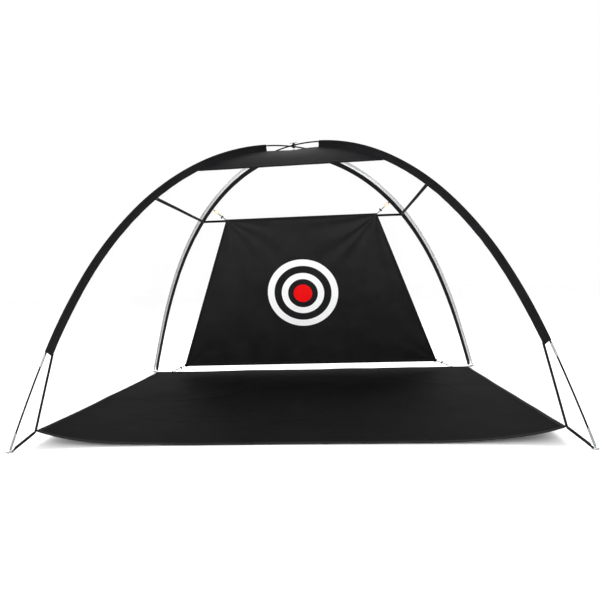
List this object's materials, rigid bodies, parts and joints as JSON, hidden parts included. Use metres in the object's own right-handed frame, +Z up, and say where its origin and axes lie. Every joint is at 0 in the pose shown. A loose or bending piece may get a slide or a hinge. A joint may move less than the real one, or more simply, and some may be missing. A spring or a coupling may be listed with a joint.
{
  "type": "golf chipping net",
  "caption": "Free-standing dome net for chipping practice: crossed bent poles, net walls, canopy, floor sheet and a hanging target sheet with a bullseye.",
  "frame": {"origin": "middle of the footprint on the ground", "axes": "+Z up, +X across the open front from left to right as the player sees it, +Y from the player into the net; the mouth faces -Y"},
  "size_m": [3.0754, 2.0506, 1.8133],
  "materials": {
    "pole_fibreglass": "semi-gloss black fibreglass",
    "ferrule_steel": "satin zinc-plated",
    "tip_steel": "satin zinc-plated",
    "pin_steel": "satin zinc-plated wire",
    "elastic_cord": "braided black cord",
    "webbing": "woven black webbing",
    "canopy_cloth": "coated black polyester",
    "sleeve_mesh": "fine pale mesh",
    "binding_tape": "black grosgrain tape",
    "netting": "knotless white netting",
    "floor_cloth": "black polyester",
    "target_cloth": "black polyester with printed rings",
    "target_hem": "folded black hem",
    "eyelet_brass": "blackened",
    "lock_plastic": "matt moulded",
    "hook_brass": "polished"
  },
  "bodies": {
    "root": {"canopy": "canopy_cloth", "canopy_hem": "canopy_cloth", "corner_pins": "pin_steel", "corner_rings": "pin_steel", "crown_tie": "elastic_cord", "floor_binding": "binding_tape", "floor_sheet": "floor_cloth", "front_corner_straps": "webbing", "front_sleeve_left": "canopy_cloth", "front_sleeve_right": "canopy_cloth", "hook_foot_left": "hook_brass", "hook_foot_right": "hook_brass", "hook_loops": "webbing", "level_tape_back": "binding_tape", "level_tape_left": "binding_tape", "level_tape_right": "binding_tape", "net_back": "netting", "net_edge_tapes": "binding_tape", "net_left": "netting", "net_right": "netting", "pole_a_ferrules": "ferrule_steel", "pole_a_sections": "pole_fibreglass", "pole_b_ferrules": "ferrule_steel", "pole_b_sections": "pole_fibreglass", "pole_tip_front_left": "tip_steel", "pole_tip_front_right": "tip_steel", "pole_tip_rear_left": "tip_steel", "pole_tip_rear_right": "tip_steel", "rear_corner_straps": "webbing", "rear_seam_tape_left": "binding_tape", "rear_seam_tape_right": "binding_tape", "rear_sleeve_left": "sleeve_mesh", "rear_sleeve_right": "sleeve_mesh", "shock_cords": "elastic_cord"},
    "target": {"cord_lock_foot_left": "lock_plastic", "cord_lock_foot_right": "lock_plastic", "cord_lock_top_left": "lock_plastic", "cord_lock_top_right": "lock_plastic", "elastic_cord_foot_left": "elastic_cord", "elastic_cord_foot_right": "elastic_cord", "elastic_cord_top_left": "elastic_cord", "elastic_cord_top_right": "elastic_cord", "hook_top_left": "hook_brass", "hook_top_right": "hook_brass", "target_binding": "target_hem", "target_eyelets": "eyelet_brass", "target_sheet": "target_cloth"},
    "gate_top_left": {"hook_gate_top_left": "hook_brass"},
    "plunger_top_left": {"lock_plunger_top_left": "lock_plastic"},
    "gate_top_right": {"hook_gate_top_right": "hook_brass"},
    "plunger_top_right": {"lock_plunger_top_right": "lock_plastic"},
    "gate_foot_left": {"hook_gate_foot_left": "hook_brass"},
    "plunger_foot_left": {"lock_plunger_foot_left": "lock_plastic"},
    "gate_foot_right": {"hook_gate_foot_right": "hook_brass"},
    "plunger_foot_right": {"lock_plunger_foot_right": "lock_plastic"}
  },
  "joints": [
    {"name": "target_swing", "type": "hinge", "parent": "root", "child": "target", "pos_m": [0, 0.4713, 1.4415], "axis": [1, 0, 0], "range_deg": [-3, 1.2], "stiffness_Nm_per_rad": 90, "deforming": ["elastic_cord_foot_left", "elastic_cord_foot_right"]},
    {"name": "gate_top_left", "type": "hinge", "parent": "target", "child": "gate_top_left", "pos_m": [-0.6785, 0.47663, 1.42602], "axis": [0.0137, -0.953, -0.3028], "range_deg": [0, 28], "stiffness_Nm_per_rad": 0.03, "springref_deg": -5.73},
    {"name": "plunger_top_left", "type": "slide", "parent": "target", "child": "plunger_top_left", "axis": [0.6827, -0.2123, 0.6991], "range_m": [0, 0.005], "stiffness_N_per_m": 400},
    {"name": "gate_top_right", "type": "hinge", "parent": "target", "child": "gate_top_right", "pos_m": [0.68874, 0.47981, 1.41553], "axis": [-0.0137, -0.953, -0.3028], "range_deg": [0, 28], "stiffness_Nm_per_rad": 0.03, "springref_deg": -5.73},
    {"name": "plunger_top_right", "type": "slide", "parent": "target", "child": "plunger_top_right", "axis": [0.6827, 0.2123, -0.6991], "range_m": [0, 0.005], "stiffness_N_per_m": 400},
    {"name": "gate_foot_left", "type": "hinge", "parent": "root", "child": "gate_foot_left", "pos_m": [-1.27298, 0.9339, 0.03189], "axis": [-0.1672, -0.9129, -0.3722], "range_deg": [0, 28], "stiffness_Nm_per_rad": 0.03, "springref_deg": -5.73},
    {"name": "plunger_foot_left", "type": "slide", "parent": "target", "child": "plunger_foot_left", "axis": [-0.4774, -0.2553, 0.8407], "range_m": [0, 0.005], "stiffness_N_per_m": 400},
    {"name": "gate_foot_right", "type": "hinge", "parent": "root", "child": "gate_foot_right", "pos_m": [1.26582, 0.93773, 0.01928], "axis": [0.1672, -0.9129, -0.3722], "range_deg": [0, 28], "stiffness_Nm_per_rad": 0.03, "springref_deg": -5.73},
    {"name": "plunger_foot_right", "type": "slide", "parent": "target", "child": "plunger_foot_right", "axis": [-0.4774, 0.2553, -0.8407], "range_m": [0, 0.005], "stiffness_N_per_m": 400}
  ]
}
